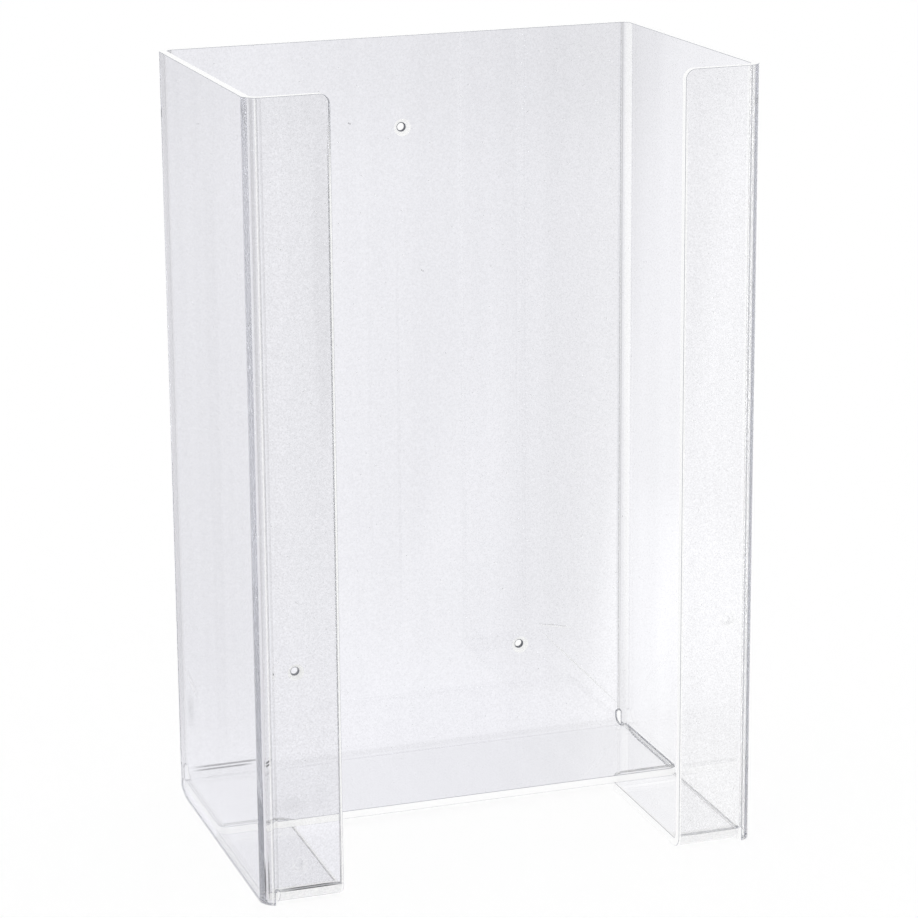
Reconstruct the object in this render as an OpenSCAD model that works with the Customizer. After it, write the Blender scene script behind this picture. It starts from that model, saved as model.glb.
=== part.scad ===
// Clear dispenser for boxes of disposable gloves, folded from one sheet of plastic.
// The flat blank is bent along straight lines: flange, side, back, side and flange
// stand in a row, a floor tongue folds forward under the back, and a foot folds back
// under each flange and is bonded below the tongue's front edge.
// Millimetres. The origin is the middle of the footprint, at the underside; +Z is up
// and -Y is the open front.

/* [Overall size] */
// Width over the side walls
outer_w = 254; // [210:1:320]
// Depth from the face of the flanges to the rear of the back
outer_d = 164; // [120:1:220]
// Height of the walls
outer_h = 390; // [240:1:520]
// Thickness of the sheet
sheet_t = 4; // [2:0.5:6]

/* [Front flanges] */
// Width of each flange, from the outside of its side wall
flange_w = 40; // [28:1:60]
// Radius of the flanges' top corners beside the opening
flange_corner_r = 5; // [2:0.5:10]

/* [Floor] */
// Length of the tongue, from the rear of the back to its front edge
tongue_len = 80; // [50:1:100]
// Radius of the tongue's front corners
tongue_corner_r = 5; // [2:0.5:12]
// Length of each foot that is bonded under the tongue
foot_lap = 8; // [4:1:16]
// Radius of the feet's rear corners beside the bottom opening
foot_corner_r = 8; // [3:0.5:14]
// Clearance between the side walls and the edges of tongue and feet
side_gap = 0.5; // [0.3:0.1:2]

/* [Bends] */
// Inside radius of the upright bends and of the tongue's bend
bend_r = 4; // [2:0.5:7]
// Inside radius of the bends above the feet
foot_bend_r = 2.5; // [1:0.5:5]
// Width of the relief slots at the ends of the tongue's bend
tongue_relief_w = 3; // [2:0.5:5]
// Width of the relief slots at the ends of the feet's bends
foot_relief_w = 1.5; // [1:0.5:3]

/* [Heels] */
// Length of the curve that lifts each side wall's lower rear corner
heel_run = 21; // [10:1:40]
// Height of that curve at the back
heel_rise = 8.5; // [4:0.5:10]

/* [Wall screws] */
// Diameter of the screw holes
hole_d = 4; // [3:0.5:6]
// Diameter of the countersinks at the inside face
sink_d = 9; // [7:0.5:12]
// Distance of the top hole below the upper edge
top_hole_drop = 47; // [20:1:80]
// Height of the two lower holes
low_hole_z = 58; // [30:1:90]
// Distance between the two lower holes
low_hole_span = 126; // [60:1:170]

/* [Hidden] */
$fn = 96;
over = 1;                                   // how far a cutter runs past the solid
bend_out = bend_r + sheet_t;                // outside radius of the upright bends
side_x = outer_w / 2;                       // outside face of a side wall
flat_x = side_x - bend_out;                 // where the flat back and flanges end
flange_x = side_x - flange_w;               // a flange's free edge
floor_x = side_x - sheet_t - side_gap;      // side edges of tongue and feet
rear_y = outer_d / 2;                       // rear face of the back
front_y = -outer_d / 2;                     // front face of the flanges
tongue_line_y = rear_y - bend_out;          // axis of the tongue's bend
tongue_line_z = sheet_t + bend_out;
tongue_y = rear_y - tongue_len;             // the tongue's front edge
foot_out = foot_bend_r + sheet_t;           // outside radius of a foot's bend
foot_line_y = front_y + foot_out;           // axis of a foot's bend
foot_rear_y = tongue_y + foot_lap;          // the feet's rear edges
foot_wide_y = front_y + bend_out + side_gap; // where a foot widens past the upright bend
tongue_wide_y = tongue_line_y - tongue_relief_w / 2;
heel_r = (heel_run * heel_run + heel_rise * heel_rise) / (2 * heel_rise);
sink_depth = min((sink_d - hole_d) / 2, 0.7 * sheet_t);

// Outline with four equal round corners, centred
module round_rect(w, d, r) {
    square([w - 2 * r, d], center = true);
    square([w, d - 2 * r], center = true);
    for (x = [-1, 1], y = [-1, 1])
        translate([x * (w / 2 - r), y * (d / 2 - r)]) circle(r);
}

// What rounding an outer corner takes away, for a corner at the origin that the
// outline fills towards -X and -Y
module corner_waste(r) {
    difference() {
        translate([-r, -r]) square([r + over, r + over]);
        translate([-r, -r]) circle(r);
    }
}

// The bent sheet seen from above: back, sides and flanges
module band_plan() {
    difference() {
        round_rect(outer_w, outer_d, bend_out);
        round_rect(outer_w - 2 * sheet_t, outer_d - 2 * sheet_t, bend_r);
        translate([-flange_x, front_y - over]) square([2 * flange_x, sheet_t + 2 * over]);
    }
}

// Quarter-round bend along +X with its axis at the origin, from an upright leg on
// its +Y side to a level leg below
module quarter_bend(inner_r, width) {
    rotate([0, 90, 0])
        rotate_extrude(angle = 90)
            translate([inner_r, 0]) square([sheet_t, width]);
}

// Waste below the bend line of the back and below those of the flanges
module bend_line_cuts() {
    translate([-flat_x, tongue_line_y, -over])
        cube([2 * flat_x, bend_out + over, tongue_line_z + over]);
    for (x = [-flat_x, flange_x])
        translate([x, front_y - over, -over])
            cube([flat_x - flange_x, bend_out + over, foot_out + over]);
}

// Slot with a round end that lets a lower bend stop short of the upright bend beside
// it: y is where the cut starts and top is the height of that bend's line
module relief_slot(y, width, top) {
    reach = bend_out + over;
    translate([flat_x, y, -over])
        cube([width, reach, top + over]);
    translate([flat_x + width / 2, y + reach, top])
        rotate([90, 0, 0])
            cylinder(d = width, h = reach);
}

// Waste below the curve that lifts a side wall's lower rear corner
module heel_cut() {
    difference() {
        translate([flat_x, rear_y - heel_run, -over])
            cube([bend_out + over, heel_run + over, heel_rise + over]);
        translate([flat_x - over, rear_y - heel_run, heel_r])
            rotate([0, 90, 0])
                cylinder(r = heel_r, h = bend_out + 3 * over);
    }
}

// Countersunk screw hole through the back, sunk from the inside
module screw_hole(x, z) {
    translate([x, rear_y, z])
        rotate([90, 0, 0]) {
            translate([0, 0, -over]) cylinder(d = hole_d, h = sheet_t + 2 * over);
            translate([0, 0, sheet_t - sink_depth])
                cylinder(d1 = hole_d, d2 = sink_d, h = sink_depth);
        }
}

// Rounds the flange's top corner beside the front opening
module flange_corner_cut() {
    translate([flange_x, front_y + sheet_t + over, outer_h])
        rotate([90, 0, 0])
            mirror([1, 0, 0])
                linear_extrude(sheet_t + 2 * over) corner_waste(flange_corner_r);
}

// Upright part of the sheet: back, side walls and front flanges in one band
module wall_band() {
    difference() {
        linear_extrude(outer_h) band_plan();
        bend_line_cuts();
        for (side = [0, 1])
            mirror([side, 0, 0]) {
                relief_slot(tongue_line_y, tongue_relief_w, tongue_line_z);
                relief_slot(front_y - over, foot_relief_w, foot_out);
                heel_cut();
                flange_corner_cut();
            }
        screw_hole(0, outer_h - top_hole_drop);
        for (side = [-1, 1])
            screw_hole(side * low_hole_span / 2, low_hole_z);
    }
}

// Floor that folds forward from the back's lower edge
module tongue() {
    translate([0, 0, sheet_t])
        linear_extrude(sheet_t)
            difference() {
                union() {
                    translate([-floor_x, tongue_y]) square([2 * floor_x, tongue_wide_y - tongue_y]);
                    translate([-flat_x, tongue_y]) square([2 * flat_x, tongue_line_y - tongue_y]);
                }
                for (side = [0, 1])
                    mirror([side, 0])
                        translate([floor_x, tongue_y])
                            mirror([0, 1]) corner_waste(tongue_corner_r);
            }
    translate([-flat_x, tongue_line_y, tongue_line_z])
        quarter_bend(bend_r, 2 * flat_x);
}

// Foot that folds back from the right flange's lower edge
module foot() {
    linear_extrude(sheet_t)
        difference() {
            union() {
                translate([flange_x, foot_line_y])
                    square([flat_x - flange_x, foot_rear_y - foot_line_y]);
                translate([flange_x, foot_wide_y])
                    square([floor_x - flange_x, foot_rear_y - foot_wide_y]);
            }
            translate([flange_x, foot_rear_y])
                mirror([1, 0]) corner_waste(foot_corner_r);
        }
    translate([flange_x, foot_line_y, foot_out])
        mirror([0, 1, 0]) quarter_bend(foot_bend_r, flat_x - flange_x);
}

// The whole holder, with the feet bonded to the tongue
module folded_holder() {
    color([0.87, 0.90, 0.96, 0.45])
        union() {
            wall_band();
            tongue();
            foot();
            mirror([1, 0, 0]) foot();
        }
}

folded_holder();
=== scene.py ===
"""Looks of the clear glove-box holder: one folded sheet in a plain white studio."""

import logging
import math
from dataclasses import dataclass
from enum import Enum, IntEnum

import bpy
from mathutils import Matrix, Vector
from mathutils.geometry import delaunay_2d_cdt

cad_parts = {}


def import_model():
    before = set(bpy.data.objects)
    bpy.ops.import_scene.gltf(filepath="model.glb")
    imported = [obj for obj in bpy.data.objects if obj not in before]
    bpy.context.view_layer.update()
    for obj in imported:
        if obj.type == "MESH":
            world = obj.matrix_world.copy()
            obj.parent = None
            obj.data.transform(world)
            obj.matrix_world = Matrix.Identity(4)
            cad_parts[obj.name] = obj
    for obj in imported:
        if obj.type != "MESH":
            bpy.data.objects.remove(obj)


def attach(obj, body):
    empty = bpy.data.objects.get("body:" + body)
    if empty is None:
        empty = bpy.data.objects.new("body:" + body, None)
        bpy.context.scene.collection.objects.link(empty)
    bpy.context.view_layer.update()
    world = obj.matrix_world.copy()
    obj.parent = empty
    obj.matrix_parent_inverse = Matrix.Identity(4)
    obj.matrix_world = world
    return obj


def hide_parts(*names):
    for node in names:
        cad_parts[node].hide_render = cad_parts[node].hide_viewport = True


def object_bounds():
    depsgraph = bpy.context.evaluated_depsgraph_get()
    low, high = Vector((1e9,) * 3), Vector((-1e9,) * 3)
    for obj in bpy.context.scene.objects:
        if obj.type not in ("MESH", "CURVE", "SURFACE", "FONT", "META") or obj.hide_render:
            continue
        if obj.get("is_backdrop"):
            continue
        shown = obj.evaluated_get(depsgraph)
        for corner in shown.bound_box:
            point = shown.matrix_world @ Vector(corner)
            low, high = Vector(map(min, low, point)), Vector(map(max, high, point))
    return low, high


log = logging.getLogger("glove_holder")

MM = 0.001
NODE = "folded_holder"
BODY = "root"
BLANK = "blank"
LIGHT_PATHS = 256  # light runs a long way inside a clear sheet
PLASTIC_IOR = 1.57  # refraction of clear polyester sheet
WHITE = (1.0, 1.0, 1.0, 1.0)
TINY = 1e-7  # metres, far below the blank's smallest feature
MITRE_LIMIT = 0.35  # keeps an inset corner from running away at a sharp turn
MIX_A, MIX_B, MIX_OUT = 6, 7, 2  # colour sockets of a mix node set to RGBA
Point = tuple[float, float]
Span = tuple[float, float]
Loop = list[Point]


def linear(hex_colour: str) -> tuple[float, float, float, float]:
    """Turns an sRGB hex colour into linear RGBA.

    Args:
        hex_colour: Six hex digits after a hash sign.

    Returns:
        Linear red, green, blue and an alpha of 1.
    """
    parts = [int(hex_colour[i : i + 2], 16) / 255 for i in (1, 3, 5)]
    low = [c / 12.92 if c <= 0.04045 else ((c + 0.055) / 1.055) ** 2.4 for c in parts]
    return (low[0], low[1], low[2], 1.0)


def add_node(
    tree: bpy.types.NodeTree,
    kind: str,
    settings: dict[str, object] | None = None,
    inputs: dict[str | int, object] | None = None,
    links: dict[str | int, bpy.types.NodeSocket] | None = None,
) -> bpy.types.Node:
    """Adds one node with its settings, socket values and incoming links.

    Args:
        tree: Node tree that takes the node.
        kind: Blender's type name of the node.
        settings: Attributes to set on the node.
        inputs: Default values of input sockets, by the socket's name or number.
        links: Output sockets to link to input sockets, by the input's name or number.

    Returns:
        The new node.
    """
    node = tree.nodes.new(kind)
    for name, value in (settings or {}).items():
        setattr(node, name, value)
    for name, value in (inputs or {}).items():
        node.inputs[name].default_value = value
    for name, socket in (links or {}).items():
        tree.links.new(socket, node.inputs[name])
    return node


def empty_material(name: str) -> bpy.types.Material:
    """Makes a material whose node tree is still empty.

    Args:
        name: The material's name.

    Returns:
        The new material.
    """
    mat = bpy.data.materials.new(name)
    mat.use_nodes = True
    mat.node_tree.nodes.clear()
    return mat


# --------------------------------------------------------------------------- finishes


class Tone(Enum):
    """What a mark does to the clear sheet: shades it or whitens it."""

    SHADE = "shade"
    WHITE = "white"


@dataclass(frozen=True)
class Mark:
    """Soft mark on the flat blank, in millimetres: a speck, smudge, line, painted shade or
    painted highlight.

    at is its middle and half its half size along and across, turned by turn degrees.
    depth is its strength in the middle and soft the share of it that fades out. A mark
    on both sides is mirrored, and a square one has straight sides instead of an ellipse.
    """

    at: Point
    half: Point
    depth: float
    tone: Tone = Tone.SHADE
    turn: float = 0.0
    both: bool = False
    square: bool = False
    soft: float = 0.6

    def add(
        self,
        tree: bpy.types.NodeTree,
        blank: bpy.types.NodeSocket,
        folded: bpy.types.NodeSocket,
    ) -> bpy.types.NodeSocket:
        """Adds the mark's nodes.

        Args:
            tree: Node tree of the sheet.
            blank: Socket with the place on the flat blank, in metres.
            folded: The same with u and v taken as positive, for marks on both sides.

        Returns:
            The socket with the mark's strength, 0 away from it.
        """
        local = add_node(
            tree,
            "ShaderNodeMapping",
            settings={"vector_type": "TEXTURE"},
            inputs={
                "Location": (self.at[0] * MM, self.at[1] * MM, 0.0),
                "Rotation": (0.0, 0.0, math.radians(self.turn)),
                "Scale": (self.half[0] * MM, self.half[1] * MM, 1.0),
            },
            links={"Vector": folded if self.both else blank},
        )
        reach = add_node(
            tree,
            "ShaderNodeVectorMath",
            settings={"operation": "ABSOLUTE" if self.square else "LENGTH"},
            links={0: local.outputs["Vector"]},
        )
        if not self.square:
            distance = reach.outputs["Value"]
        else:
            apart = add_node(
                tree, "ShaderNodeSeparateXYZ", links={"Vector": reach.outputs["Vector"]}
            )
            distance = add_node(
                tree,
                "ShaderNodeMath",
                settings={"operation": "MAXIMUM"},
                links={0: apart.outputs["X"], 1: apart.outputs["Y"]},
            ).outputs["Value"]
        return add_node(
            tree,
            "ShaderNodeMapRange",
            settings={"interpolation_type": "SMOOTHSTEP"},
            inputs={
                "From Min": 1 - self.soft,
                "From Max": 1.0,
                "To Min": self.depth,
                "To Max": 0.0,
            },
            links={"Value": distance},
        ).outputs["Result"]


# Places are (u, v) on the flat blank: u to the right from the middle of the back, v up
# from the side walls' lower edge.
BEND_MARKS_WITH_PAINTED_LIGHT = (
    # painted highlights and painted shade along the upright front bends: white lines stand
    # for the bends' reflections, dark lines for their refraction, mostly on the left
    Mark((283.3, 180), (0.32, 900), 0.75, Tone.WHITE, both=True),
    Mark((-283.95, 180), (0.25, 900), 0.30),
    Mark((-281.6, 180), (1.2, 900), 0.12),
    Mark((-285.3, 180), (0.3, 900), 0.22),
    Mark((279.0, 180), (1.8, 900), 0.85, Tone.WHITE),
    Mark((-280.5, 12), (0.5, 14), 0.95),
    # painted shade and painted highlights along the upright rear bends, standing for their
    # refraction and reflections
    Mark((123.7, 190), (4.8, 900), 0.10, both=True, square=True, soft=0.3),
    Mark((-125.5, 190), (2.5, 900), 0.15, square=True, soft=0.3),
    Mark((120.3, 190), (0.35, 900), 0.6, Tone.WHITE, both=True),
    Mark((121.2, 190), (0.35, 900), 0.18, both=True),
    # tight bends above the feet: whitened up to 7 mm each side of v 0, with painted shade
    # lines that stand for the refraction there, strongest on the left
    Mark((301.8, 3.0), (17.5, 4.0), 0.85, Tone.WHITE, both=True, square=True, soft=0.1),
    Mark((-301.8, 6.9), (17.5, 0.45), 0.90, square=True),
    Mark((-301.8, 2.2), (17.5, 0.35), 0.70, square=True),
    Mark((301.8, 6.9), (17.5, 0.40), 0.15, square=True),
    # painted shade: two dark lines along the floor's bend near its left end, standing for
    # the refraction there
    Mark((-97, 10.9), (22, 0.6), 0.97, square=True, soft=0.5),
    Mark((-100, 9.0), (18, 0.6), 0.97, square=True, soft=0.5),
    # a white line beside the free edges of flanges and feet
    Mark((317.3, 150), (0.6, 240), 1.0, Tone.WHITE, both=True, square=True, soft=0.2),
)
WEAR_MARKS_WITH_PAINTED_LIGHT = (
    # dust specks
    Mark((-27.9, 346.7), (0.55, 0.6), 0.75),
    Mark((-198.2, 365.0), (0.9, 0.6), 0.75),
    Mark((10.3, 267.4), (0.45, 0.5), 0.75),
    Mark((148.7, 268.0), (0.8, 0.5), 0.60),
    # soft darker patches low on the left wall and on the floor's left half
    Mark((-150.5, 53.6), (9, 15), 0.17, turn=12, soft=0.9),
    Mark((-84.0, -50.0), (14, 22), 0.09, turn=-20, soft=0.9),
    Mark((-66.0, -45.0), (8, 25), 0.05, turn=-20, soft=0.9),
    # a scratch on the left wall
    Mark((-153, 69.5), (0.6, 16), 0.8, Tone.WHITE, turn=-73),
    # painted highlight: two white lines on the back that meet at one end
    Mark((97.6, 40.6), (0.5, 38), 0.6, Tone.WHITE, turn=43.6),
    Mark((83, 66), (0.45, 12), 0.7, Tone.WHITE, turn=79),
    # painted shadow: faint dark lines on the back that stand for the left flange's edge
    # shadow
    Mark((-3.5, 190), (0.5, 175), 0.07),
    Mark((-19, 190), (1.2, 175), 0.02),
    # faint darker bands high on the left flange and down the middle of the left wall
    Mark((-313, 300), (6, 90), 0.05, soft=0.5),
    Mark((-214, 198), (12, 165), 0.03, square=True, soft=0.3),
)


# Clear polyester sheet, pressed between polished plates: it mirrors the studio in sharp
# bands, lets the rest through with a cool grey cast and bends straight lines a little.
@dataclass(frozen=True)
class ClearSheet:
    """Extruded PETG sheet, press-polished: clear with a cool cast and faint waviness.

    The spans of grain and streaks are the clearness of their dark and light places.
    """

    name: str = "clear_petg_sheet"
    roughness: float = 0.0
    wave_mm: float = 60.0
    wave_strength: float = 0.02
    grain_mm: float = 0.8  # real haze is finer; drawn as coarse as it needs to show
    grain: Span = (0.90, 1.0)
    streak_mm: float = 14.0
    streaks: Span = (0.98, 1.0)
    noise_range: Span = (0.3, 0.7)  # where nearly all of a noise texture's values lie
    dust_mm: float = 17.0
    dust_radius_mm: float = 0.35
    dust_core: float = 0.4
    dust_white: float = 0.8
    depth_tint: str = "#dfe0e6"
    depth_per_metre: float = 3.0
    marks: tuple[Mark, ...] = BEND_MARKS_WITH_PAINTED_LIGHT + WEAR_MARKS_WITH_PAINTED_LIGHT

    def dust(
        self, tree: bpy.types.NodeTree, blank: bpy.types.NodeSocket
    ) -> bpy.types.NodeSocket:
        """Scatters white dust specks.

        Args:
            tree: Node tree of the material.
            blank: Socket with the place on the flat blank, in metres.

        Returns:
            The socket with the specks' whiteness.
        """
        cells = add_node(
            tree,
            "ShaderNodeTexVoronoi",
            settings={"voronoi_dimensions": "2D"},
            inputs={"Scale": 1 / (self.dust_mm * MM)},
            links={"Vector": blank},
        )
        reach = self.dust_radius_mm / self.dust_mm
        return add_node(
            tree,
            "ShaderNodeMapRange",
            settings={"interpolation_type": "SMOOTHSTEP"},
            inputs={
                "From Min": self.dust_core * reach,
                "From Max": reach,
                "To Min": self.dust_white,
                "To Max": 0.0,
            },
            links={"Value": cells.outputs["Distance"]},
        ).outputs["Result"]

    def patterns(
        self, tree: bpy.types.NodeTree, blank: bpy.types.NodeSocket
    ) -> list[bpy.types.NodeSocket]:
        """Draws grain and extrusion streaks.

        Args:
            tree: Node tree of the material.
            blank: Socket with the place on the flat blank, in metres.

        Returns:
            The sockets with the clearness that each pattern leaves.
        """
        place = add_node(tree, "ShaderNodeTexCoord")
        grain = add_node(
            tree,
            "ShaderNodeTexNoise",
            inputs={"Scale": 1 / (self.grain_mm * MM), "Detail": 0.0},
            links={"Vector": place.outputs["Object"]},
        )
        drawn = add_node(
            tree,
            "ShaderNodeMapping",
            inputs={"Scale": (1 / (self.streak_mm * MM), 1.0, 1.0)},
            links={"Vector": blank},
        )
        streaks = add_node(
            tree,
            "ShaderNodeTexNoise",
            settings={"noise_dimensions": "2D"},
            inputs={"Scale": 1.0, "Detail": 1.0},
            links={"Vector": drawn.outputs["Vector"]},
        )
        low, high = self.noise_range
        return [
            add_node(
                tree,
                "ShaderNodeMapRange",
                inputs={"From Min": low, "From Max": high, "To Min": dark, "To Max": light},
                links={"Value": noise.outputs["Fac"]},
            ).outputs["Result"]
            for noise, (dark, light) in ((grain, self.grain), (streaks, self.streaks))
        ]

    def drawing(
        self, tree: bpy.types.NodeTree
    ) -> tuple[bpy.types.NodeSocket, bpy.types.NodeSocket]:
        """Draws grain, streaks, dust and marks on the flat blank.

        Args:
            tree: Node tree of the material.

        Returns:
            The sockets of the clearness, from 0 to 1, and of the whitening.
        """
        blank = add_node(tree, "ShaderNodeUVMap", settings={"uv_map": BLANK}).outputs["UV"]
        folded = add_node(
            tree,
            "ShaderNodeVectorMath",
            settings={"operation": "ABSOLUTE"},
            links={0: blank},
        ).outputs["Vector"]
        clears = self.patterns(tree, blank)
        whites = [self.dust(tree, blank)]
        for mark in self.marks:
            strength = mark.add(tree, blank, folded)
            if mark.tone is Tone.WHITE:
                whites.append(strength)
                continue
            left = add_node(
                tree,
                "ShaderNodeMath",
                settings={"operation": "SUBTRACT"},
                inputs={0: 1.0},
                links={1: strength},
            )
            clears.append(left.outputs["Value"])
        joined = []
        for operation, (total, *others) in (("MULTIPLY", clears), ("MAXIMUM", whites)):
            for other in others:
                total = add_node(
                    tree,
                    "ShaderNodeMath",
                    settings={"operation": operation},
                    links={0: total, 1: other},
                ).outputs["Value"]
            joined.append(total)
        return joined[0], joined[1]

    def build(self) -> bpy.types.Material:
        """Makes the material.

        Returns:
            The new material.
        """
        mat = empty_material(self.name)
        tree = mat.node_tree
        place = add_node(tree, "ShaderNodeTexCoord")
        waves = add_node(
            tree,
            "ShaderNodeTexNoise",
            inputs={"Scale": 1 / (self.wave_mm * MM), "Detail": 2.0, "Roughness": 0.4},
            links={"Vector": place.outputs["Object"]},
        )
        bump = add_node(
            tree,
            "ShaderNodeBump",
            inputs={"Strength": self.wave_strength, "Distance": MM},
            links={"Height": waves.outputs["Fac"]},
        )
        clear, white = self.drawing(tree)
        unwhitened = add_node(
            tree,
            "ShaderNodeMath",
            settings={"operation": "SUBTRACT"},
            inputs={0: 1.0},
            links={1: white},
        )
        shader = add_node(
            tree,
            "ShaderNodeBsdfPrincipled",
            inputs={"Roughness": self.roughness, "IOR": PLASTIC_IOR},
            links={
                "Base Color": clear,
                "Transmission Weight": unwhitened.outputs["Value"],
                "Normal": bump.outputs["Normal"],
            },
        )
        depth = add_node(
            tree,
            "ShaderNodeVolumeAbsorption",
            inputs={"Color": linear(self.depth_tint), "Density": self.depth_per_metre},
        )
        add_node(
            tree,
            "ShaderNodeOutputMaterial",
            links={"Surface": shader.outputs["BSDF"], "Volume": depth.outputs["Volume"]},
        )
        return mat


# The same sheet where a cutter has passed: fine tool marks scatter the light, so the
# edge is a white line beside the clear faces, with a soft sheen.
@dataclass(frozen=True)
class SawnEdge:
    """Cut edge of the sheet, finely machined: matt and white."""

    name: str = "machined_petg_edge"
    tint: str = "#ffffff"
    roughness: float = 0.6
    grain_mm: float = 0.8  # cutter marks are finer; drawn as coarse as they need to show
    grain_depth_mm: float = 0.1
    grain_strength: float = 0.15

    def build(self) -> bpy.types.Material:
        """Makes the material.

        Returns:
            The new material.
        """
        mat = empty_material(self.name)
        tree = mat.node_tree
        place = add_node(tree, "ShaderNodeTexCoord")
        grain = add_node(
            tree,
            "ShaderNodeTexNoise",
            inputs={"Scale": 1 / (self.grain_mm * MM), "Detail": 3.0},
            links={"Vector": place.outputs["Object"]},
        )
        bump = add_node(
            tree,
            "ShaderNodeBump",
            inputs={"Strength": self.grain_strength, "Distance": self.grain_depth_mm * MM},
            links={"Height": grain.outputs["Fac"]},
        )
        shader = add_node(
            tree,
            "ShaderNodeBsdfPrincipled",
            inputs={
                "Base Color": linear(self.tint),
                "Roughness": self.roughness,
                "IOR": PLASTIC_IOR,
            },
            links={"Normal": bump.outputs["Normal"]},
        )
        add_node(tree, "ShaderNodeOutputMaterial", links={"Surface": shader.outputs["BSDF"]})
        return mat


# A scraper's narrow facet runs along each edge of the clear sheet and is coloured grey:
# painted shade that stands for the thin dark line which refraction draws along each edge;
# its scrape marks make that line uneven.
@dataclass(frozen=True)
class Arris:
    """Scraped corner of a cut edge: a thin, uneven grey line of painted shade."""

    name: str = "arris_painted_shade"
    dark: str = "#7f838d"
    light: str = "#979ba5"
    roughness: float = 0.4
    scrape_mm: float = 0.8  # scrape marks are finer; drawn as coarse as they need to show

    def build(self) -> bpy.types.Material:
        """Makes the material.

        Returns:
            The new material.
        """
        mat = empty_material(self.name)
        tree = mat.node_tree
        place = add_node(tree, "ShaderNodeTexCoord")
        scrapes = add_node(
            tree,
            "ShaderNodeTexNoise",
            inputs={"Scale": 1 / (self.scrape_mm * MM), "Detail": 2.0},
            links={"Vector": place.outputs["Object"]},
        )
        colour = add_node(
            tree,
            "ShaderNodeMix",
            settings={"data_type": "RGBA"},
            inputs={MIX_A: linear(self.dark), MIX_B: linear(self.light)},
            links={"Factor": scrapes.outputs["Fac"]},
        )
        shader = add_node(
            tree,
            "ShaderNodeBsdfPrincipled",
            inputs={"Roughness": self.roughness, "IOR": PLASTIC_IOR},
            links={"Base Color": colour.outputs[MIX_OUT]},
        )
        add_node(tree, "ShaderNodeOutputMaterial", links={"Surface": shader.outputs["BSDF"]})
        return mat


# A screw hole's wall and a thin ring round its inside rim are dark grey: painted shade that
# stands for the dark inside the hole, between the white countersink and what is seen through
# the hole.
@dataclass(frozen=True)
class DrilledBore(Arris):
    """Wall and inside rim of a screw hole: uneven dark grey, painted shade."""

    name: str = "bore_painted_shade"
    dark: str = "#50535c"
    light: str = "#686b74"


# ---------------------------------------------------------------------- folded sheet


class Surface(IntEnum):
    """Kinds of surface on the sheet, numbered as its material slots."""

    SKIN = 0
    CUT = 1
    ARRIS = 2
    BORE = 3


class Zone(Enum):
    """Parts of the flat blank, each with its own way of folding."""

    BAND = "band"
    TONGUE = "tongue"
    FOOT = "foot"


def arc(centre: Point, radius: float, start: float, end: float, steps: int) -> Loop:
    """Lists points along an arc.

    Args:
        centre: Centre of the arc.
        radius: Radius of the arc.
        start: First angle in degrees, anticlockwise from +X.
        end: Last angle in degrees.
        steps: Number of chords.

    Returns:
        The points, both ends included.
    """
    x, y = centre
    angles = [math.radians(start + (end - start) * i / steps) for i in range(steps + 1)]
    return [(x + radius * math.cos(a), y + radius * math.sin(a)) for a in angles]


def inset(loop: Loop, distance: float) -> Loop:
    """Moves a closed anticlockwise outline inwards by a small distance.

    Args:
        loop: Outline without a repeated last point.
        distance: How far each side moves to its left.

    Returns:
        The moved outline, with as many points.
    """
    moved = []
    count = len(loop)
    for i, here in enumerate(loop):
        before, after = Vector(loop[i - 1]), Vector(loop[(i + 1) % count])
        middle = Vector(here)
        into, out = (middle - before).normalized(), (after - middle).normalized()
        left_in, left_out = Vector((-into.y, into.x)), Vector((-out.y, out.x))
        mitre = (left_in + left_out).normalized()
        share = max(mitre.dot(left_in), MITRE_LIMIT)
        moved.append(tuple(middle + mitre * distance / share))
    return moved


def inside(point: Point, loop: Loop) -> bool:
    """Says whether a point lies inside a closed outline.

    Args:
        point: The point to test.
        loop: Outline without a repeated last point.

    Returns:
        True when the point is inside.
    """
    x, y = point
    hit = False
    for (x1, y1), (x2, y2) in zip(loop, loop[1:] + loop[:1]):
        if (y1 > y) != (y2 > y) and x < (x2 - x1) * (y - y1) / (y2 - y1) + x1:
            hit = not hit
    return hit


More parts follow.
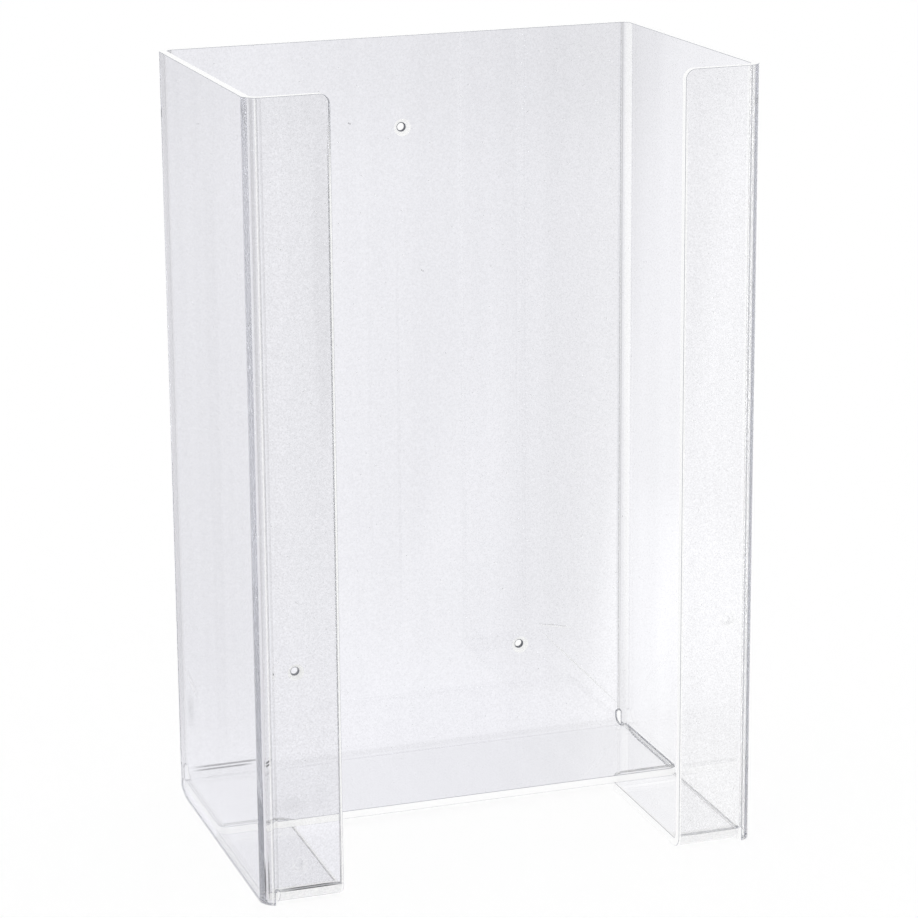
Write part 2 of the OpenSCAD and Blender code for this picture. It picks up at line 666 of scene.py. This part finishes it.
@dataclass
class FoldedSheet:
    """The whole holder: a flat blank that is cut, countersunk and folded by formula.

    Lengths are metres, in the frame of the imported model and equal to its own. The
    blank's u runs along the band from the middle of the back, and v is the height,
    continued below the bend lines of tongue and feet as unrolled length.
    """

    width: float
    depth: float
    height: float
    sheet: float = 4 * MM
    flange: float = 40 * MM
    flange_corner: float = 5 * MM
    tongue_length: float = 80 * MM
    tongue_corner: float = 5 * MM
    foot_lap: float = 8 * MM
    foot_corner: float = 8 * MM
    side_gap: float = 0.5 * MM
    bend: float = 4 * MM
    foot_bend: float = 2.5 * MM
    tongue_relief: float = 3.14 * MM  # a slot of 3 mm, unrolled off the upright bend
    foot_relief: float = 1.52 * MM  # a slot of 1.5 mm, unrolled likewise
    heel_run: float = 21 * MM
    heel_rise: float = 8.5 * MM
    hole: float = 4 * MM
    sink: float = 9 * MM
    top_hole_drop: float = 47 * MM
    low_hole_height: float = 58 * MM
    low_hole_span: float = 126 * MM
    arris: float = 0.15 * MM
    # width of the ring of painted shade round a hole's inside rim
    rim_shade_width: float = 0.45 * MM
    bond_bite: float = 0.02 * MM  # a foot's upper face lies this far inside the tongue
    bend_steps: int = 32
    hole_steps: int = 32
    heel_steps: int = 20
    slot_steps: int = 12
    foot_corner_steps: int = 10
    corner_steps: int = 8
    sharp_degrees: float = 25.0
    finishes: tuple[ClearSheet | SawnEdge | Arris, ...] = (
        ClearSheet(),
        SawnEdge(),
        Arris(),
        DrilledBore(),
    )

    def __post_init__(self) -> None:
        """Works out the blank's lines from the driving sizes."""
        self.outer = self.bend + self.sheet
        self.foot_outer = self.foot_bend + self.sheet
        self.arc_length = math.pi / 2 * (self.bend + self.sheet / 2)
        self.foot_arc = math.pi / 2 * (self.foot_bend + self.sheet / 2)
        self.flat = self.width / 2 - self.outer
        self.rear_line = self.depth / 2 - self.outer
        # along the band: where side wall, front bend and flange start, and the free edge
        self.u_side = self.flat + self.arc_length
        self.u_front = self.u_side + 2 * self.rear_line
        self.u_flange = self.u_front + self.arc_length
        self.u_end = self.u_flange + self.flange - self.outer
        # bend lines of tongue and feet
        self.v_tongue = self.sheet + self.outer
        self.v_foot = self.foot_outer
        self.floor_half = self.width / 2 - self.sheet - self.side_gap
        self.sink_depth = (self.sink - self.hole) / 2

    # ---- outline of the blank

    def heel_height(self, u: float) -> float:
        """Gives the height of the side wall's lower edge, along the heel's curve.

        Args:
            u: Place along the band.

        Returns:
            The edge's height.
        """
        if u < self.u_side:
            turn = (u - self.flat) / self.arc_length * math.pi / 2
            y = self.rear_line + (self.bend + self.sheet / 2) * math.cos(turn)
        else:
            y = self.rear_line - (u - self.u_side)
        radius = (self.heel_run**2 + self.heel_rise**2) / (2 * self.heel_rise)
        along = max(0.0, y - (self.depth / 2 - self.heel_run))
        return radius - math.sqrt(radius**2 - along**2)

    def half_outline(self) -> Loop:
        """Lists the right half of the blank's outline.

        Returns:
            The points, from the tongue's front edge round to the back's upper edge.
        """
        # tongue: front edge, round corner, side edge and neck beside the relief slot
        tongue_flat = self.rear_line - (self.depth / 2 - self.tongue_length)
        low = self.v_tongue - self.arc_length - tongue_flat
        wide = self.v_tongue - self.arc_length - self.tongue_relief / 2
        slot = self.tongue_relief / 2
        points: Loop = [(0.0, low)]
        corner = (self.floor_half - self.tongue_corner, low + self.tongue_corner)
        points += arc(corner, self.tongue_corner, -90, 0, self.corner_steps)
        points += [(self.floor_half, wide), (self.flat, wide)]
        points += arc((self.flat + slot, self.v_tongue), slot, 180, 0, self.slot_steps)
        # side wall: heel's curve, then the straight lower edge to the foot's slot
        heel_start = self.flat + self.tongue_relief
        heel_end = self.u_side + self.heel_run - self.outer
        for i in range(self.heel_steps + 1):
            u = heel_start + (heel_end - heel_start) * i / self.heel_steps
            points.append((u, self.heel_height(u)))
        slot = self.foot_relief / 2
        points.append((self.u_flange - self.foot_relief, 0.0))
        points += arc((self.u_flange - slot, self.v_foot), slot, 180, 0, self.slot_steps)
        # foot: shoulder, side edge, rear edge and its round corner
        wide_foot = -(self.depth / 2 - self.outer - self.side_gap)
        foot_line = -(self.depth / 2 - self.foot_outer)
        shoulder = self.v_foot - self.foot_arc - (wide_foot - foot_line)
        spread = self.floor_half - self.flat
        points += [(self.u_flange, shoulder), (self.u_flange - spread, shoulder)]
        rear = self.depth / 2 - self.tongue_length + self.foot_lap
        foot_low = self.v_foot - self.foot_arc - (rear - foot_line)
        points.append((self.u_flange - spread, foot_low))
        corner = (self.u_end - self.foot_corner, foot_low + self.foot_corner)
        points += arc(corner, self.foot_corner, -90, 0, self.foot_corner_steps)
        # flange: free edge and round top corner
        corner = (self.u_end - self.flange_corner, self.height - self.flange_corner)
        points += arc(corner, self.flange_corner, 0, 90, self.corner_steps)
        points.append((0.0, self.height))
        return points

    def outline(self) -> Loop:
        """Lists the blank's whole outline.

        Returns:
            The points, anticlockwise, without a repeated last one.
        """
        right = self.half_outline()
        left = [(-u, v) for u, v in reversed(right[1:-1])]
        return right + left

    def holes(self) -> list[Point]:
        """Lists the screw holes.

        Returns:
            The centres on the flat blank.
        """
        half = self.low_hole_span / 2
        return [
            (0.0, self.height - self.top_hole_drop),
            (-half, self.low_hole_height),
            (half, self.low_hole_height),
        ]

    def bend_lines(self) -> list[tuple[Point, Point]]:
        """Lists the straight lines along which the blank's triangles are split.

        Returns:
            The two ends of each line.
        """
        lines = []
        top = self.height + MM
        for i in range(self.bend_steps + 1):
            share = self.arc_length * i / self.bend_steps
            for u in (self.flat + share, self.u_front + share):
                lines += [((s * u, -MM), (s * u, top)) for s in (-1, 1)]
            v = self.v_tongue - share
            lines.append(((-self.flat - MM, v), (self.flat + MM, v)))
        for i in range(self.bend_steps + 1):
            v = self.v_foot - self.foot_arc * i / self.bend_steps
            for s in (-1, 1):
                lines.append(((s * (self.u_flange - MM), v), (s * (self.u_end + MM), v)))
        return lines

    # ---- folding

    def zone(self, u: float, v: float) -> Zone:
        """Says which part of the blank a point belongs to.

        Args:
            u: Place along the band.
            v: Height, or unrolled length below a bend line.

        Returns:
            The part, which says how the point folds.
        """
        side = abs(u)
        neck = self.v_tongue - self.arc_length - self.tongue_relief / 2
        if side <= self.flat + TINY and v < self.v_tongue:
            return Zone.TONGUE
        if side <= self.floor_half + TINY and v <= neck + TINY:
            return Zone.TONGUE
        if side >= self.u_flange - TINY and v < self.v_foot:
            return Zone.FOOT
        if side > self.u_front and v < -TINY:
            return Zone.FOOT
        return Zone.BAND

    def fold(self, u: float, v: float, n: float) -> Vector:
        """Folds one point of the blank into place.

        Args:
            u: Place along the band.
            v: Height, or unrolled length below a bend line.
            n: Depth in the sheet from the holder's outside face.

        Returns:
            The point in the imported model's frame.
        """
        side = -1.0 if u < 0 else 1.0
        zone = self.zone(u, v)
        if zone is Zone.TONGUE:
            y, z = self.fold_floor(self.v_tongue - v, n, self.outer, self.arc_length)
            return Vector((u, self.rear_line + y, self.v_tongue + z))
        if zone is Zone.FOOT:
            y, z = self.fold_floor(self.v_foot - v, n, self.foot_outer, self.foot_arc)
            x = self.flat - (abs(u) - self.u_flange)
            lift = self.bond_bite * n / self.sheet
            start = -(self.depth / 2 - self.foot_outer)
            return Vector((side * x, start - y, self.v_foot + z + lift))
        x, y = self.fold_band(abs(u), n)
        return Vector((side * x, y, v))

    def fold_floor(self, a: float, n: float, outer: float, length: float) -> Point:
        """Folds a strip that hangs below a bend line through a right angle.

        Args:
            a: Unrolled length from the bend line.
            n: Depth in the sheet from the outside face.
            outer: Outside radius of the bend.
            length: Unrolled length of the bend.

        Returns:
            Distance outwards and height, both from the bend's axis.
        """
        radius = outer - n
        if a <= length:
            turn = a / length * math.pi / 2
            return (radius * math.cos(turn), -radius * math.sin(turn))
        return (-(a - length), -radius)

    def fold_band(self, u: float, n: float) -> Point:
        """Folds the right half of the band, seen from above.

        Args:
            u: Place along the band, from the middle of the back.
            n: Depth in the sheet from the outside face.

        Returns:
            X and Y.
        """
        radius = self.outer - n
        if u <= self.flat:
            return (u, self.depth / 2 - n)
        if u <= self.u_side:
            turn = (u - self.flat) / self.arc_length * math.pi / 2
            across, back = radius * math.sin(turn), radius * math.cos(turn)
            return (self.flat + across, self.rear_line + back)
        if u <= self.u_front:
            return (self.width / 2 - n, self.rear_line - (u - self.u_side))
        if u <= self.u_flange:
            turn = (u - self.u_front) / self.arc_length * math.pi / 2
            across, ahead = radius * math.cos(turn), radius * math.sin(turn)
            return (self.flat + across, -self.rear_line - ahead)
        return (self.flat - (u - self.u_flange), -self.depth / 2 + n)

    # ---- mesh

    def sunk(self, u: float, v: float) -> float:
        """Says how deep a countersink goes at a point of the inside face.

        Args:
            u: Place along the band.
            v: Height.

        Returns:
            The depth, 0 away from the countersinks.
        """
        near = min(math.dist((u, v), centre) for centre in self.holes())
        inner, outer = self.hole / 2, self.sink / 2
        return self.sink_depth * max(0.0, min(1.0, (outer - near) / (outer - inner)))

    def triangles(self) -> tuple[list[Point], list[tuple[int, ...]], set[int], set[int]]:
        """Splits the blank into triangles that respect its edges and bend lines.

        Returns:
            The points, the triangles, the points on a cut edge and those on a hole's rim.
        """
        outer = self.outline()
        steps = self.hole_steps
        holes = [arc(c, self.hole / 2, 0, 360, steps)[:-1] for c in self.holes()]
        rings = [
            arc(c, radius, 0, 360, steps)[:-1]
            for c in self.holes()
            for radius in (self.sink / 2, self.hole / 2 + self.rim_shade_width)
        ]
        loops = [outer, inset(outer, self.arris)] + rings + holes
        points: list[Vector] = []
        edges: list[tuple[int, int]] = []
        for loop in loops:
            base, count = len(points), len(loop)
            points += [Vector(p) for p in loop]
            edges += [(base + i, base + (i + 1) % count) for i in range(count)]
        for start, end in self.bend_lines():
            edges.append((len(points), len(points) + 1))
            points += [Vector(start), Vector(end)]
        verts, _, faces, _, _, _ = delaunay_2d_cdt(points, edges, [], 0, TINY)
        flat = [(v.x, v.y) for v in verts]
        # the triangles inside the blank and outside its holes
        kept = []
        for face in faces:
            mid = tuple(sum(flat[i][k] for i in face) / len(face) for k in (0, 1))
            if inside(mid, outer) and not any(inside(mid, loop) for loop in holes):
                kept.append(tuple(face))
        # an edge that only one triangle uses is a cut edge
        uses: dict[tuple[int, int], int] = {}
        for face in kept:
            for a, b in zip(face, face[1:] + face[:1]):
                uses[min(a, b), max(a, b)] = uses.get((min(a, b), max(a, b)), 0) + 1
        rim = {i for edge, n in uses.items() if n == 1 for i in edge}
        reach = self.hole / 2 + 0.01 * MM
        bores = {
            i
            for i in rim
            if any(math.dist(flat[i], centre) < reach for centre in self.holes())
        }
        return flat, kept, rim - bores, bores

    def mesh(self) -> bpy.types.Mesh:
        """Builds the closed, folded mesh, its skins numbered by kind of surface.

        Returns:
            The mesh, with its place on the flat blank as a UV map.
        """
        flat, faces, rim, bores = self.triangles()
        used = sorted({i for face in faces for i in face})
        order = {old: new for new, old in enumerate(used)}
        count = len(used)
        # outside skin, then inside skin, both drawn in by the arris at a cut edge
        verts = []
        for layer in (0, 1):
            for i in used:
                u, v = flat[i]
                n = layer * self.sheet
                if i in rim:
                    n += self.arris * (1 - 2 * layer)
                elif layer:
                    n -= self.sunk(u, v)
                verts.append(self.fold(u, v, n))
        polys, kinds = [], []
        sides: dict[tuple[int, int], None] = {}  # a set that keeps its order
        for face in faces:
            ids = [order[i] for i in face]
            kind = Surface.ARRIS if any(i in rim for i in face) else Surface.SKIN
            polys.append(tuple(reversed(ids)))
            kinds.append(kind)
            polys.append(tuple(count + i for i in ids))
            middle = [sum(flat[i][k] for i in face) / len(face) for k in (0, 1)]
            if any(i in bores for i in face):
                kind = Surface.BORE
            elif self.sunk(*middle) > 0:
                kind = Surface.CUT
            kinds.append(kind)
            for a, b in zip(ids, ids[1:] + ids[:1]):
                sides[a, b] = None
        # cut edges join the two skins
        for a, b in [side for side in sides if (side[1], side[0]) not in sides]:
            polys.append((a, b, b + count, a + count))
            kinds.append(Surface.BORE if used[a] in bores else Surface.CUT)
        mesh = bpy.data.meshes.new("clear_folded_sheet")
        mesh.from_pydata(verts, [], polys)
        mesh.polygons.foreach_set("material_index", kinds)
        places = mesh.uv_layers.new(name=BLANK).data
        for corner in mesh.loops:
            places[corner.index].uv = flat[used[corner.vertex_index % count]]
        mesh.shade_smooth()
        mesh.set_sharp_from_angle(angle=math.radians(self.sharp_degrees))
        self.true_normals(mesh, [flat[i] for i in used])
        return mesh

    def true_normals(self, mesh: bpy.types.Mesh, blank: list[Point]) -> None:
        """Gives the polished skins the exact normals of the folded surface.

        Args:
            mesh: The folded mesh, its outside skin's points before its inside skin's.
            blank: Place of each point of one skin on the flat blank.
        """
        normals = [corner.vector.copy() for corner in mesh.corner_normals]
        probe = 0.01 * MM
        for face in mesh.polygons:
            if face.material_index != Surface.SKIN:
                continue
            for corner in face.loop_indices:
                index = mesh.loops[corner].vertex_index
                layer = index // len(blank)
                u, v = blank[index % len(blank)]
                n = layer * self.sheet
                out = self.fold(u, v, n - probe) - self.fold(u, v, n + probe)
                normals[corner] = out.normalized() * (1 - 2 * layer)
        mesh.normals_split_custom_set(normals)

    def build(self) -> bpy.types.Object:
        """Makes the piece, dresses it and gives it to its body.

        Returns:
            The new object.
        """
        mesh = self.mesh()
        for finish in self.finishes:
            mesh.materials.append(finish.build())
        piece = bpy.data.objects.new("clear_folded_sheet", mesh)
        bpy.context.scene.collection.objects.link(piece)
        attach(piece, BODY)
        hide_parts(NODE)
        log.info("%s: %d polygons", piece.name, len(mesh.polygons))
        return piece


# ----------------------------------------------------------------------------- studio


@dataclass(frozen=True)
class Step:
    """Soft step from a first to a last level over a stretch of one coordinate."""

    start: float
    end: float
    first: float
    last: float


@dataclass(frozen=True)
class Grade:
    """Levels of the studio's light along a bearing, eased from stop to stop.

    Each stop is a bearing and its level, and no level is above the brightest.
    """

    stops: tuple[tuple[float, float], ...]
    brightest: float = 2.0

    def add(
        self, tree: bpy.types.NodeTree, bearing: bpy.types.NodeSocket
    ) -> bpy.types.NodeSocket:
        """Adds the grade's nodes.

        Args:
            tree: Node tree of the world or the floor.
            bearing: Socket with the place along the grade.

        Returns:
            The socket that carries the level.
        """
        first, last = self.stops[0][0], self.stops[-1][0]
        along = add_node(
            tree,
            "ShaderNodeMapRange",
            inputs={"From Min": first, "From Max": last},
            links={"Value": bearing},
        )
        ramp = add_node(tree, "ShaderNodeValToRGB", links={"Fac": along.outputs["Result"]})
        ramp.color_ramp.interpolation = "EASE"
        elements = ramp.color_ramp.elements
        for place, _ in self.stops[1:-1]:
            elements.new((place - first) / (last - first))
        # a colour ramp only holds 0 to 1, so the levels are shares of the brightest
        for element, (_, level) in zip(elements, self.stops):
            grey = level / self.brightest
            element.color = (grey, grey, grey, 1.0)
        return add_node(
            tree,
            "ShaderNodeMath",
            settings={"operation": "MULTIPLY"},
            inputs={1: self.brightest},
            links={0: ramp.outputs["Color"]},
        ).outputs["Value"]


@dataclass(frozen=True)
class StudioCamera:
    """Camera in front of the holder, to its left and above, for a square frame.

    Pixels are the frame's own. The angles are degrees to the right, downwards and
    round the line of sight, and the place is in metres.
    """

    frame: float = 918.0
    focal: float = 3183.9
    axis: Point = (320.0, 367.0)  # where the optical axis meets the frame
    yaw: float = 16.677
    pitch: float = 14.056
    roll: float = -1.077
    place: tuple[float, float, float] = (-0.50219, -1.44417, 0.61925)
    sensor_mm: float = 36.0
    reach: float = 50.0

    def build(self) -> None:
        """Makes the camera and gives it to the scene."""
        data = bpy.data.cameras.new("studio_camera")
        data.sensor_fit = "HORIZONTAL"
        data.sensor_width = self.sensor_mm
        data.lens = self.sensor_mm * self.focal / self.frame
        data.shift_x = (self.frame / 2 - self.axis[0]) / self.frame
        data.shift_y = (self.axis[1] - self.frame / 2) / self.frame
        data.clip_end = self.reach
        yaw, pitch, roll = (math.radians(a) for a in (self.yaw, self.pitch, self.roll))
        level = math.cos(pitch)
        ahead = Vector((math.sin(yaw) * level, math.cos(yaw) * level, -math.sin(pitch)))
        right = ahead.cross(Vector((0, 0, 1))).normalized()
        up = right.cross(ahead)
        turned_right = math.cos(roll) * right + math.sin(roll) * up
        turned_up = -math.sin(roll) * right + math.cos(roll) * up
        rows = zip(turned_right, turned_up, -ahead, Vector(self.place))
        cam = bpy.data.objects.new("studio_camera", data)
        cam.matrix_world = Matrix([*rows, (0, 0, 0, 1)])
        scene = bpy.context.scene
        scene.collection.objects.link(cam)
        scene.camera = cam


@dataclass
class Studio:
    """White surroundings and a pale floor.

    The grades and steps set what the clear plastic mirrors and lets through: by
    bearing, as the sine of the angle to the right of straight back or front, and by
    height, as the sine of the angle above the holder's middle.
    """

    centre: Vector
    fan_offset: tuple[float, float, float] = (-0.25, -0.72, 0.0)  # in front, to the left
    floor_size: float = 12.0
    floor_gap: float = 0.2 * MM
    # the light's faint cool cast, which fades out to the right
    cast: str = "#f6f6fb"
    cast_right: str = "#fbfbfc"
    to_right: Step = Step(0.34, 0.50, 0.0, 1.0)
    # behind the holder: dim in the middle, bright to the right, and what the far floor
    # and the high wall add to that
    behind: Grade = Grade(
        (
            (-0.50, 0.95),
            (-0.20, 0.95),
            (-0.12, 0.87),
            (0.12, 0.85),
            (0.18, 1.02),
            (0.25, 1.03),
            (0.33, 0.975),
            (0.38, 0.92),
            (0.395, 0.95),
            (0.412, 1.08),
            (0.425, 1.10),
            (0.44, 1.18),
            (0.60, 1.20),
        )
    )
    behind_far: Step = Step(-0.07, -0.115, -0.05, 0.0)
    behind_high: Step = Step(0.05, 0.30, 0.0, -0.10)
    # in front of the holder, and the turn from front to back
    front: Grade = Grade(((0.0, 0.80), (0.36, 0.80), (0.46, 1.25), (1.0, 1.25)))
    turn: Step = Step(-0.2, 0.2, 0.0, 1.0)
    # the floor under the holder and the ceiling above it
    below: Step = Step(-0.45, -0.8, 0.0, 0.7)
    below_level: float = 1.05
    above: Step = Step(0.5, 0.75, 0.0, 1.0)
    above_level: float = 0.25
    # how much of the floor's shadows is seen
    shadow_share: float = 0.25

    def brightness(
        self,
        tree: bpy.types.NodeTree,
        direction: bpy.types.NodeSocket,
        fan: bpy.types.NodeSocket,
    ) -> tuple[bpy.types.NodeSocket, bpy.types.NodeSocket]:
        """Grades the studio's light by direction as seen from the holder.

        Args:
            tree: Node tree of the world or the floor.
            direction: Socket with a unit vector that points away from the holder.
            fan: The same from the point that the tones of the rear floor fan out of.

        Returns:
            The sockets that carry the brightness and the colour.
        """
        apart = add_node(tree, "ShaderNodeSeparateXYZ", links={"Vector": direction})
        height = apart.outputs["Z"]
        bearing = self.bearing(tree, direction)
        fanned = self.bearing(tree, fan)
        steps = {
            name: add_node(
                tree,
                "ShaderNodeMapRange",
                settings={"interpolation_type": "SMOOTHSTEP"},
                inputs={
                    "From Min": step.start,
                    "From Max": step.end,
                    "To Min": step.first,
                    "To Max": step.last,
                },
                links={"Value": along},
            ).outputs["Result"]
            for name, step, along in (
                ("behind_far", self.behind_far, height),
                ("behind_high", self.behind_high, height),
                ("turn", self.turn, bearing.outputs["Y"]),
                ("below", self.below, height),
                ("above", self.above, height),
                ("to_right", self.to_right, fanned.outputs["X"]),
            )
        }
        behind = self.behind.add(tree, fanned.outputs["X"])
        for name in ("behind_far", "behind_high"):
            behind = add_node(
                tree,
                "ShaderNodeMath",
                settings={"operation": "ADD"},
                links={0: behind, 1: steps[name]},
            ).outputs["Value"]
        front = self.front.add(tree, bearing.outputs["X"])
        level = add_node(
            tree,
            "ShaderNodeMix",
            settings={"data_type": "FLOAT"},
            links={"Factor": steps["turn"], "A": front, "B": behind},
        ).outputs["Result"]
        for name, reached in (("below", self.below_level), ("above", self.above_level)):
            level = add_node(
                tree,
                "ShaderNodeMix",
                settings={"data_type": "FLOAT"},
                inputs={"B": reached},
                links={"Factor": steps[name], "A": level},
            ).outputs["Result"]
        colour = add_node(
            tree,
            "ShaderNodeMix",
            settings={"data_type": "RGBA"},
            inputs={MIX_A: linear(self.cast), MIX_B: linear(self.cast_right)},
            links={"Factor": steps["to_right"]},
        )
        return level, colour.outputs[MIX_OUT]

    def bearing(
        self, tree: bpy.types.NodeTree, direction: bpy.types.NodeSocket
    ) -> bpy.types.Node:
        """Adds the nodes that turn a direction into a bearing.

        Args:
            tree: Node tree of the world or the floor.
            direction: Socket with a unit vector.

        Returns:
            The node that splits the direction's level part, as a unit vector, in X and Y.
        """
        flat = add_node(
            tree,
            "ShaderNodeVectorMath",
            settings={"operation": "MULTIPLY"},
            inputs={1: (1.0, 1.0, 0.0)},
            links={0: direction},
        )
        level = add_node(
            tree,
            "ShaderNodeVectorMath",
            settings={"operation": "NORMALIZE"},
            links={0: flat.outputs["Vector"]},
        )
        return add_node(
            tree, "ShaderNodeSeparateXYZ", links={"Vector": level.outputs["Vector"]}
        )

    def away(self, tree: bpy.types.NodeTree, point: Vector) -> bpy.types.NodeSocket:
        """Adds the nodes that give a direction to each place on the floor.

        Args:
            tree: Node tree of the floor.
            point: Where the direction starts.

        Returns:
            The socket with the direction as a unit vector.
        """
        place = add_node(tree, "ShaderNodeTexCoord")
        offset = add_node(
            tree,
            "ShaderNodeVectorMath",
            settings={"operation": "SUBTRACT"},
            inputs={1: tuple(point)},
            links={0: place.outputs["Object"]},
        )
        return add_node(
            tree,
            "ShaderNodeVectorMath",
            settings={"operation": "NORMALIZE"},
            links={0: offset.outputs["Vector"]},
        ).outputs["Vector"]

    def surround(
        self,
        tree: bpy.types.NodeTree,
        kind: str,
        direction: bpy.types.NodeSocket,
        fan: bpy.types.NodeSocket,
    ) -> bpy.types.NodeSocket:
        """Makes surroundings that are white by sight and softly graded to clear plastic.

        Args:
            tree: Node tree of the world or the floor.
            kind: Emission or background node type.
            direction: Socket with a unit vector that points away from the holder.
            fan: The same from the point that the tones of the rear floor fan out of.

        Returns:
            The shader's socket.
        """
        # graded light reaches only what a clear face mirrors or lets through; the
        # camera's own rays and all scattered light meet plain white
        path = add_node(tree, "ShaderNodeLightPath")
        plain = add_node(tree, kind, inputs={"Color": WHITE, "Strength": 1.0})
        brightness, colour = self.brightness(tree, direction, fan)
        graded = add_node(tree, kind, links={"Color": colour, "Strength": brightness})
        unscattered = add_node(
            tree,
            "ShaderNodeMath",
            settings={"operation": "LESS_THAN"},
            inputs={1: 0.5},
            links={0: path.outputs["Diffuse Depth"]},
        )
        mirrored = add_node(
            tree,
            "ShaderNodeMath",
            settings={"operation": "MULTIPLY"},
            links={0: path.outputs["Is Singular Ray"], 1: unscattered.outputs["Value"]},
        )
        seen = add_node(
            tree,
            "ShaderNodeMath",
            settings={"operation": "SUBTRACT", "use_clamp": True},
            links={0: mirrored.outputs["Value"], 1: path.outputs["Is Camera Ray"]},
        )
        return add_node(
            tree,
            "ShaderNodeMixShader",
            links={0: seen.outputs["Value"], 1: plain.outputs[0], 2: graded.outputs[0]},
        ).outputs["Shader"]

    def world(self) -> None:
        """Makes the surroundings above the floor."""
        world = bpy.data.worlds.new("white_studio")
        bpy.context.scene.world = world
        world.use_nodes = True
        tree = world.node_tree
        tree.nodes.clear()
        place = add_node(tree, "ShaderNodeTexCoord")
        direction = place.outputs["Generated"]
        shader = self.surround(tree, "ShaderNodeBackground", direction, direction)
        add_node(tree, "ShaderNodeOutputWorld", links={"Surface": shader})

    def floor(self) -> None:
        """Lays the pale floor, which carries on the light of the surroundings."""
        mat = empty_material("pale_floor")
        tree = mat.node_tree
        glow = self.surround(
            tree,
            "ShaderNodeEmission",
            self.away(tree, self.centre),
            self.away(tree, self.centre + Vector(self.fan_offset)),
        )
        path = add_node(tree, "ShaderNodeLightPath")
        share = add_node(
            tree,
            "ShaderNodeMath",
            settings={"operation": "MULTIPLY"},
            inputs={1: self.shadow_share},
            links={0: path.outputs["Is Camera Ray"]},
        )
        matt = add_node(tree, "ShaderNodeBsdfDiffuse", inputs={"Color": WHITE})
        mix = add_node(
            tree,
            "ShaderNodeMixShader",
            links={0: share.outputs["Value"], 1: glow, 2: matt.outputs["BSDF"]},
        )
        add_node(tree, "ShaderNodeOutputMaterial", links={"Surface": mix.outputs["Shader"]})
        half = self.floor_size / 2
        mesh = bpy.data.meshes.new("floor")
        corners = [(-half, -half), (half, -half), (half, half), (-half, half)]
        mesh.from_pydata([(x, y, -self.floor_gap) for x, y in corners], [], [(0, 1, 2, 3)])
        mesh.materials.append(mat)
        plane = bpy.data.objects.new("floor", mesh)
        bpy.context.scene.collection.objects.link(plane)
        plane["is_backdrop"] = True


def main() -> None:
    """Builds everything in order."""
    logging.basicConfig(level=logging.INFO, format="%(name)s: %(message)s")
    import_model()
    cad_low, cad_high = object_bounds()
    low, high = Vector(cad_low), Vector(cad_high)
    size = high - low
    scene = bpy.context.scene
    scene.view_settings.view_transform = "Standard"
    scene.cycles.blur_glossy = 0.0
    scene.cycles.max_bounces = LIGHT_PATHS
    scene.cycles.diffuse_bounces = LIGHT_PATHS
    scene.cycles.glossy_bounces = LIGHT_PATHS
    scene.cycles.transmission_bounces = LIGHT_PATHS
    FoldedSheet(width=size.x, depth=size.y, height=size.z).build()
    studio = Studio(centre=(low + high) / 2)
    studio.world()
    studio.floor()
    StudioCamera().build()


if __name__ == "__main__":
    main()
